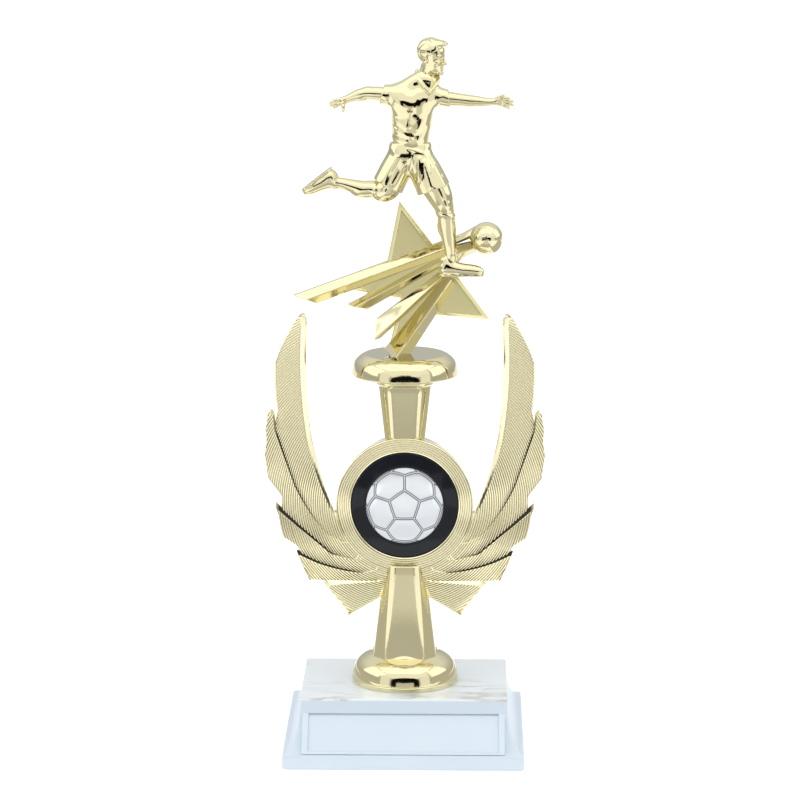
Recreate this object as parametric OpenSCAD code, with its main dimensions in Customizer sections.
// Figure trophy: weighted base, winged riser with a medallion, and a footballer on a round collar.
// Millimetres. Origin: centre of the underside. +Z up, the front faces -Y, +X to the viewer's right.

/* [Base] */
// Width of the base at its foot
base_foot_w = 113.6; // [110:0.2:120]
// Depth of the base at its foot
base_foot_d = 109.8; // [106:0.2:116]
// Width of the top of the base
base_top_w = 98; // [94:0.5:100]
// Depth of the top of the base
base_top_d = 71.4; // [66:0.2:76]
// Height of the base
base_h = 28.8; // [26:0.2:32]
// Height of the straight lip round the foot
lip_h = 6.9; // [5:0.1:8]
// Wall of the base shell
base_wall = 2.2; // [1.6:0.1:3]
// Thickness of the marble-look sheet on the top
sheet_t = 0.8; // [0.5:0.1:1]
// Thickness of the felt pad
pad_t = 1; // [0.8:0.1:1.5]

/* [Rod and nuts] */
// Radius of the threaded rod
rod_r = 3.175; // [3.1:0.025:3.25]
// Radius of the clearance holes along the rod
rod_hole_r = 3.6; // [3.5:0.05:3.8]
// Width of the nuts across their flats
nut_flats = 11.1; // [10.8:0.1:11.4]
// Thickness of the nuts
nut_t = 5.6; // [5:0.1:6]

/* [Riser] */
// Radius of the foot flange
flange_r = 25.4; // [24:0.1:27]
// Half width of the stem at its bottom
stem_bottom = 15; // [14:0.1:16]
// Half width of the stem at its top
stem_top = 9.6; // [9.2:0.1:10]
// Height of the middle of the hub
hub_z = 117; // [116:0.1:118]
// Radius of the hub
hub_r = 32.4; // [32:0.1:33]
// Distance of the front of the hub from the rod's axis
hub_front = 10.5; // [10:0.1:11]
// Distance of the back of the hub from the rod's axis
hub_back = 7.5; // [7:0.1:9]
// Half width of the neck at its bottom
neck_bottom = 9.3; // [9:0.1:10]
// Half width of the neck at its top
neck_top = 12.6; // [12:0.1:13]

/* [Medallion] */
// Radius of the medallion
medal_r = 25.4; // [25:0.1:25.5]
// Radius of the silver disc
disc_r = 18.6; // [17:0.1:20]
// Depth of the recess for the medallion
recess_t = 3; // [2.6:0.1:3.4]

/* [Figure] */
// Radius of the rim of the collar
collar_r = 25.4; // [24:0.1:27]
// Height of the top of the collar
collar_top = 188.3; // [187.5:0.1:189]
// Thickness of the star
star_t = 2.4; // [2:0.1:3]
// Radius of the ball
ball_r = 7.8; // [7:0.1:8.2]

/* [Hidden] */
eps = 0.01;
gold = "#d8cf9a";
white_plastic = "#eaf2f8";

// Base
ledge = 0.6;                       // flat step between the cove and the lip
shell_top = base_h - sheet_t;      // top of the shell, under the marble-look sheet
cavity_w = 90;
cavity_d = 64;
cavity_top = shell_top - base_wall - 0.8;
plate_w = 90;                      // recess for an engraving plate
plate_low = [-53.2, 7.2];           // lower and upper ends [y, z] of the sloped face
plate_high = [-36, 22.6];
plate_margin = 1.2;                // border above and below the recess
plate_recess = 0.6;
pocket_r = 13;                     // pocket round the bottom nut
nut_z = pad_t + 2.5;
washer_z = nut_z + nut_t;          // under the lock washer
lock_t = 1.6;
flat_t = 1.4;
pocket_top = washer_z + lock_t + flat_t;

// Riser
stem_z0 = 43.6;
stem_z1 = 90;
neck_z0 = 144;
neck_z1 = 174.6;
neck_lip_t = 3;
facet = 0.6;                       // share of each side that the flat facets take
wing_back = 3;                     // distance of the wings' backs from the rod's axis, to the front

// Figure
collar_bottom = neck_z1 + neck_lip_t;
figure_nut_z = 179;
rod_top = 185.6;

// Points of the straight line from p to q, bowed to its right by p's third value. q is left out.
function bow(p, q, steps = 8) =
    let (d = [q[0] - p[0], q[1] - p[1]], right = [d[1], -d[0]] / norm(d))
    p[2] == 0 ? [[p[0], p[1]]] :
    [for (i = [0:steps - 1])
        let (t = i / steps, h = 4 * p[2] * t * (1 - t))
        [p[0] + d[0] * t + right[0] * h, p[1] + d[1] * t + right[1] * h]];

// Closed outline through corners [x, z, bow of the side that starts there]
function outline(c) = [for (i = [0:len(c) - 1]) each bow(c[i], c[(i + 1) % len(c)])];

// Plate with its outline in the XZ plane, from y = -front to y = -back
module plate(points, front, back) {
    translate([0, -back, 0]) rotate([90, 0, 0]) linear_extrude(front - back) polygon(points);
}

// Profile of one pair of coved sides: half widths at the foot and at the top, and the heights
function coved(foot, top, z_top) =
    let (cove = foot - ledge - top,
         side = [for (a = [0:7.5:90]) [top + cove * (1 - cos(a)), z_top - (z_top - lip_h) * sin(a)]])
    concat([[-foot, pad_t], [foot, pad_t], [foot, lip_h]],
           [for (i = [len(side) - 1:-1:0]) side[i]],
           [for (s = side) [-s[0], s[1]]],
           [[-foot, lip_h]]);

// Square column with chamfered corners, from z0 to z1, with half widths w0 and w1
module column(z0, z1, w0, w1) {
    function section(w) = let (f = w * facet)
        [[-f, -w], [f, -w], [w, -f], [w, f], [f, w], [-f, w], [-w, f], [-w, -f]];
    hull() {
        translate([0, 0, z0]) linear_extrude(eps) polygon(section(w0));
        translate([0, 0, z1 - eps]) linear_extrude(eps) polygon(section(w1));
    }
}

// Puts its children on the hub's front face, with +Z out of the face and the origin at its middle
module on_hub() {
    translate([0, -hub_front, hub_z]) rotate([90, 0, 0]) children();
}

module rod_hole(z0, z1) {
    translate([0, 0, z0 - 1]) cylinder(h = z1 - z0 + 2, r = rod_hole_r, $fn = 48);
}

module hex(z, t) {
    translate([0, 0, z]) cylinder(h = t, r = nut_flats / 2 / cos(30), $fn = 6);
}

// Hollow shell: two coved profiles crossed, open below, with a sloped plate recess in front
module base_shell() {
    color(white_plastic) difference() {
        union() {
            intersection() {
                translate([0, base_foot_d, 0]) rotate([90, 0, 0])
                    linear_extrude(2 * base_foot_d)
                        polygon(coved(base_foot_w / 2, base_top_w / 2, shell_top));
                translate([-base_foot_w, 0, 0]) rotate([90, 0, 90])
                    linear_extrude(2 * base_foot_w)
                        polygon(coved(base_foot_d / 2, base_top_d / 2, shell_top));
            }
            plate_wedge(plate_w + 6);
        }
        translate([-cavity_w / 2, -cavity_d / 2, 0]) cube([cavity_w, cavity_d, cavity_top]);
        plate_cut();
        rod_hole(0, base_h);
    }
}

// Wedge that fills the front cove behind the sloped face
module plate_wedge(w) {
    inner = -base_top_d / 2 + 1;
    translate([-w / 2, 0, 0]) rotate([90, 0, 90]) linear_extrude(w)
        polygon([plate_low, plate_high, [inner, plate_high[1]], [inner, plate_low[1]]]);
}

// Shallow recess for an engraving plate, square to the sloped face
module plate_cut() {
    slope = plate_high - plate_low;
    l = norm(slope) - 2 * plate_margin;
    mid = (plate_high + plate_low) / 2;
    translate([0, mid[0], mid[1]]) rotate([atan2(slope[1], slope[0]), 0, 0])
        translate([-plate_w / 2, -l / 2, -plate_recess]) cube([plate_w, l, plate_recess + 2]);
}

module base_top() {
    color("white") difference() {
        translate([-base_top_w / 2, -base_top_d / 2, shell_top]) cube([base_top_w, base_top_d, sheet_t]);
        rod_hole(shell_top, base_h);
    }
}

// Cast weight that fills the shell, with a pocket for the nut
module base_ballast() {
    color("lightgrey") difference() {
        translate([-cavity_w / 2, -cavity_d / 2, pad_t]) cube([cavity_w, cavity_d, cavity_top - pad_t]);
        rod_hole(0, base_h);
        translate([0, 0, 0]) cylinder(h = pocket_top, r = pocket_r, $fn = 64);
    }
}

module base_pad() {
    color("darkgreen") difference() {
        translate([-base_foot_w / 2 + 1.5, -base_foot_d / 2 + 1.5, 0])
            cube([base_foot_w - 3, base_foot_d - 3, pad_t]);
        translate([0, 0, -1]) cylinder(h = pad_t + 2, r = pocket_r, $fn = 64);
    }
}

module check_rod() {
    color("silver") translate([0, 0, pad_t + 0.6]) cylinder(h = rod_top - pad_t - 0.6, r = rod_r, $fn = 48);
}

module bottom_nut() {
    color("silver") difference() {
        hex(nut_z, nut_t);
        translate([0, 0, nut_z - 1]) cylinder(h = nut_t + 2, r = rod_r + 0.03, $fn = 48);
    }
}

module washer(z, t, r) {
    difference() {
        translate([0, 0, z]) cylinder(h = t, r = r, $fn = 64);
        translate([0, 0, z - 1]) cylinder(h = t + 2, r = rod_r + 0.2, $fn = 48);
    }
}

// Split spring washer
module lock_washer() {
    color("silver") difference() {
        washer(washer_z, lock_t, 5.6);
        translate([0, -0.6, washer_z - 1]) cube([10, 1.2, lock_t + 2]);
    }
}

module flat_washer() {
    color("silver") washer(washer_z + lock_t, flat_t, 9.5);
}

// Bell-shaped foot: a hollow turned shell with a boss round the rod
module riser_foot() {
    neck_in = stem_bottom + 1;
    shoulder = [for (a = [0:10:90]) [neck_in + (flange_r - neck_in) * cos(a), 34 + 8.6 * sin(a)]];
    color(gold) rotate_extrude($fn = 96) polygon(concat(
        [[rod_hole_r, base_h], [rod_hole_r + 3, base_h], [rod_hole_r + 3, 37.5], [stem_bottom - 1, 37.5],
         [flange_r - 5, 33], [flange_r - 3.4, base_h],
         [flange_r - 0.4, base_h], [flange_r - 0.4, base_h + 2]],
        shoulder,
        [[stem_bottom - 0.6, stem_z0], [rod_hole_r, stem_z0]]
    ));
}

module stem_solid() {
    column(stem_z0, stem_z1, stem_bottom, stem_top);
}

module hub_solid(r, back) {
    on_hub() translate([0, 0, -hub_front - back]) cylinder(h = hub_front + back, r = r, $fn = 128);
}

module riser_stem() {
    color(gold) difference() {
        stem_solid();
        hub_solid(hub_r, 3 * hub_back);
        on_hub() cylinder(h = 20, r = hub_r, $fn = 128);
        rod_hole(stem_z0, stem_z1);
    }
}

// Round boss: flat ring in front, with the recess for the medallion
module riser_hub() {
    color(gold) difference() {
        hub_solid(hub_r, hub_back);
        on_hub() translate([0, 0, -recess_t]) cylinder(h = recess_t + 1, r = medal_r + 0.2, $fn = 128);
        rod_hole(hub_z - hub_r, hub_z + hub_r);
    }
}

module riser_neck() {
    color(gold) difference() {
        union() {
            column(neck_z0, neck_z1, neck_bottom, neck_top);
            translate([0, 0, neck_z1]) cylinder(h = neck_lip_t, r = neck_top + 1, $fn = 64);
        }
        hub_solid(hub_r, 3 * hub_back);
        rod_hole(neck_z0, neck_z1 + neck_lip_t);
    }
}

// Half width of the stem at a height, with a hair's clearance
function stem_side(z) = stem_bottom - (stem_bottom - stem_top) * (z - stem_z0) / (stem_z1 - stem_z0) + 0.02;

// Outlines of the feathers, from the top one down. The lower ones lie in front of the upper ones,
// which run on under them.
feathers = [
    [[47.4, 207.6, -0.6], [50.4, 206.4, -1.1], [61.3, 184, -0.5], [60.2, 161.4, 0], [62.5, 150, 0],
     [57, 125, 0], [40, 99, 0], [20, 98, 0], [20, 112, 0],
     [33.3, 113.6, 1.1], [44.1, 149.6, 1.4], [46, 206.4, 0]],
    [[63.3, 160.9, -1.3], [66.6, 140.8, -0.5], [65.1, 129.3, 0], [58.1, 119.9, 0], [58, 110, 0],
     [48, 98, 0], [28, 88.5, 0], [24, 94, 0], [36.2, 102.4, 1.3], [52.3, 127.2, 0]],
    [[61.2, 117, -0.8], [57.7, 99.8, 0], [49.9, 94.9, 0], [47, 88, 0], [34, 81.5, 0],
     [15, 81.5, 0], [20, 89, 0], [35.8, 94, 0]],
    [[51.6, 93.7, -0.4], [45.4, 79.4, 0], [38.4, 79.2, 0], [35.5, 76.8, 0],
     [stem_side(76.8), 76.8, 0], [stem_side(84.5), 84.5, 0], [21, 84.3, 1.6]],
    [[38.2, 79.8, 0], [38.7, 77.7, 0], [26.9, 62, 0],
     [stem_side(71.3), 71.3, 0], [stem_side(80.8), 80.8, 0]]
];

module right_wing() {
    color(gold) difference() {
        for (i = [0:4]) plate(outline(feathers[i]), 6 + 0.7 * i, wing_back);
        hub_solid(hub_r, 3 * hub_back);
    }
}

module left_wing() {
    mirror([1, 0, 0]) right_wing();
}

module insert_tape() {
    color("white") on_hub() translate([0, 0, -recess_t]) cylinder(h = 0.4, r = medal_r - 0.6, $fn = 96);
}

// Conical ring, higher at its inner edge
module insert_bezel() {
    z0 = 0.4 - recess_t;
    color("#15161a") on_hub() rotate_extrude($fn = 128) polygon([
        [disc_r + 0.05, z0], [medal_r, z0], [medal_r, -0.6], [disc_r + 0.05, 0.6]
    ]);
}

// Domed disc; the dome is 1.6 mm high
module insert_disc() {
    z0 = 0.4 - recess_t;
    color("#e8ecf2") on_hub() rotate_extrude($fn = 96) polygon(concat(
        [[0, z0], [disc_r, z0]],
        [for (i = [0:10]) let (r = disc_r * (1 - i / 10)) [r, 0.2 + 1.6 * (1 - pow(r / disc_r, 2))]]
    ));
}

// Collar: turned profile with a pocket for the captive nut
module figure_base() {
    rim_z = collar_bottom + 3.2;
    flat_r = 19.6;
    shoulder = [for (a = [0:10:90])
        [flat_r + (collar_r - flat_r) * cos(a), rim_z + (collar_top - rim_z) * sin(a)]];
    color(gold) difference() {
        rotate_extrude($fn = 96) polygon(concat(
            [[0, collar_bottom], [collar_r - 1.6, collar_bottom + 0.4],
             [collar_r - 0.3, collar_bottom + 1.6]],
            shoulder, [[0, collar_top]]
        ));
        translate([0, 0, collar_bottom - 1])
            cylinder(h = rod_top - collar_bottom + 1.6, r = rod_hole_r, $fn = 48);
        hex(figure_nut_z, nut_t);
    }
}

module figure_nut() {
    color("silver") difference() {
        hex(figure_nut_z, nut_t);
        translate([0, 0, figure_nut_z - 1]) cylinder(h = nut_t + 2, r = rod_r + 0.03, $fn = 48);
    }
}

// Five-pointed plate, turned a little to the left and wider than it is tall
star_points = [
    [-2.6, 260.9], [-9, 229], [-30.7, 219.7], [-1.9, 215], [-8, 188.8], [10.8, 207.4],
    [39.6, 204.6], [22.3, 229], [36, 243.2], [14.6, 238.4]
];

module star() {
    color(gold) plate(star_points, star_t / 2, -star_t / 2);
}

// Ridged bar from its tip to its root; each end is [upper edge, ridge, lower edge] as [x, z].
// The edges lie on the star's front face and the ridge stands proud by the given height.
module streak(tip, root, tip_proud, root_proud, back = star_t / 2) {
    y = -back;
    points = [
        [tip[0][0], y, tip[0][1]], [tip[1][0], y - tip_proud, tip[1][1]], [tip[2][0], y, tip[2][1]],
        [root[0][0], y, root[0][1]], [root[1][0], y - root_proud, root[1][1]], [root[2][0], y, root[2][1]]
    ];
    faces = [[0, 1, 2], [5, 4, 3], [0, 3, 4], [0, 4, 1], [1, 4, 5], [1, 5, 2], [0, 2, 5], [0, 5, 3]];
    hull() polyhedron(points, faces);
}

module streak_one() {
    color(gold) streak([[-52.7, 216.1], [-46, 214.2], [-41.7, 212.3]],
                       [[28, 245.8], [20, 239.4], [19, 236.6]], 3.2, 3.2);
}

module streak_two() {
    color(gold) streak([[-27, 211.8], [-24, 211.2], [-17.6, 209.7]],
                       [[18.6, 236], [19, 234], [19.4, 231.8]], 3.4, 3);
}

module streak_three() {
    color(gold) streak([[-13.2, 204.5], [-13.6, 199], [-14.2, 194.9]],
                       [[19.8, 231.2], [20.4, 229.6], [21, 227.6]], 3.6, 3);
}

// The last streak is the strut that stands on the collar
module streak_four() {
    color(gold) hull() {
        translate([0, 0, collar_top]) linear_extrude(eps)
            polygon([[-8.6, 0], [-7, -5], [-2, -14], [5, -8], [6, -star_t / 2], [0, -star_t / 2]]);
        plate([[19.4, 226.9], [24, 222.4], [23, 221], [18.6, 225.8]], 4.2, star_t / 2);
    }
}

// Thin webs between the streaks, flush with the star's front face
module streak_web() {
    web_front = 2.2;
    color(gold) {
        plate([[-27.6, 213.4], [-14, 221], [16, 234.6], [16, 235.2], [-16, 222.4], [-40, 213.4]],
              web_front, star_t / 2);
        plate([[-12.6, 205.4], [-6, 211], [17, 229.4], [17, 230.2], [-6, 216.6], [-16.6, 210.4]],
              web_front, star_t / 2);
    }
}

module ball() {
    color(gold) translate([38.2, -3, 243.8]) sphere(r = ball_r, $fn = 64);
}

// Two short struts from the root of the streaks to the ball
module ball_arm() {
    color(gold) difference() {
        union() {
            bone([22.4, -3, 240.6], 1.5, [33, -3, 245.4], 1.7);
            bone([24.6, -3, 234.6], 1.5, [35, -3, 239], 1.7);
        }
        translate([38.2, -3, 243.8]) sphere(r = ball_r, $fn = 64);
    }
}

// Rounded rod between two points, with its own radius at each end
module bone(a, ra, b, rb) {
    hull() {
        translate(a) sphere(r = ra, $fn = 18);
        translate(b) sphere(r = rb, $fn = 18);
    }
}

// Chain of bones through joints [x, y, z, r]
module limb(joints) {
    for (i = [0:len(joints) - 2])
        bone([for (k = [0:2]) joints[i][k]], joints[i][3],
             [for (k = [0:2]) joints[i + 1][k]], joints[i + 1][3]);
}

// Footballer, running to the right
module player() {
    color(gold) {
        // chest and waist
        hull() {
            for (p = [[-1.6, -6, 307.5], [10.6, -6, 308.5], [-1.2, -6, 291], [6.2, -6, 290.5]])
                translate(p) sphere(r = 5, $fn = 18);
        }
        // neck and head
        limb([[10, -6, 316, 4], [11.6, -6, 321.5, 4.2], [12.8, -6, 330.2, 7.8], [14.6, -6.5, 325, 5]]);
        // the player's right arm
        limb([[-3, -6, 311.5, 4.6], [-9, -5, 310.6, 4.6], [-15.6, -4, 312.4, 3], [-21, -3, 311.6, 2.3],
              [-27.6, -2, 308.6, 1.8], [-31, -2, 306.8, 1.8], [-34, -2, 306, 1]]);
        // the player's left arm
        limb([[12, -6, 310.6, 4.6], [20.4, -7, 309.6, 3.7], [27, -8, 309.2, 2.9],
              [39, -9, 308.6, 2], [43.6, -9, 309.4, 2], [49, -9, 309.6, 1]]);
        // shorts and legs
        limb([[1, -6, 286, 8], [-7, -4, 274, 7.4], [-8, -3.5, 267.2, 5], [-14, -3, 266.4, 4.4],
              [-25, -2, 269.4, 3.4], [-33, -2, 270.2, 2.6], [-36.6, -2, 271.6, 2.6], [-46, -2, 267, 2]]);
        limb([[6, -6, 286, 8], [12.6, -8, 272.6, 7.6], [17.4, -9, 261.6, 4.8], [19.2, -9, 256.6, 4.2],
              [19.6, -9, 250, 4.5], [20.6, -9, 243, 3.4], [21.4, -9, 235.8, 2.8], [21.2, -9, 231, 3],
              [27, -9, 230, 2.7], [35.6, -9, 229, 2.1]]);
    }
}

base_shell();
base_top();
base_ballast();
base_pad();
check_rod();
bottom_nut();
lock_washer();
flat_washer();
riser_foot();
riser_stem();
riser_hub();
riser_neck();
left_wing();
right_wing();
insert_tape();
insert_bezel();
insert_disc();
figure_base();
figure_nut();
star();
streak_one();
streak_two();
streak_three();
streak_four();
streak_web();
ball();
ball_arm();
player();
